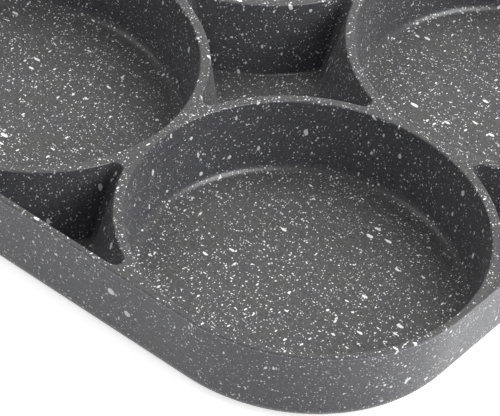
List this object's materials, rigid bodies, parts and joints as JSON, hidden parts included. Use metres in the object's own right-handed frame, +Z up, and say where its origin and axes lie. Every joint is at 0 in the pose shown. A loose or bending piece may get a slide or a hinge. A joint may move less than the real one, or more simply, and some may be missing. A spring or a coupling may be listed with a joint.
{
  "type": "multi-cup pancake pan",
  "caption": "Rounded-square die-cast pan with separate round cups for small pancakes or eggs, open pockets between the cups and a long riser handle.",
  "frame": {"origin": "middle of the base, at the level that the pan stands on", "axes": "+Z up; +X along the pan's centre line, away from the handle; +Y to the left when looking along +X"},
  "size_m": [0.3735, 0.1852, 0.0498],
  "materials": {
    "fleck_coat": "charcoal non-stick coat with pale flecks, satin",
    "base_steel": "turned, fine concentric lines",
    "guard_steel": "fine brushed",
    "plated_steel": "zinc plated",
    "grip": "moulded phenolic with a wood-effect face, satin"
  },
  "bodies": {
    "root": {"pan_body": "fleck_coat", "induction_disc": "base_steel", "lug_insert": "plated_steel", "flame_guard": "guard_steel", "handle_grip": "grip", "handle_screw": "plated_steel", "spring_washer": "plated_steel", "flat_washer": "plated_steel"}
  },
  "joints": []
}
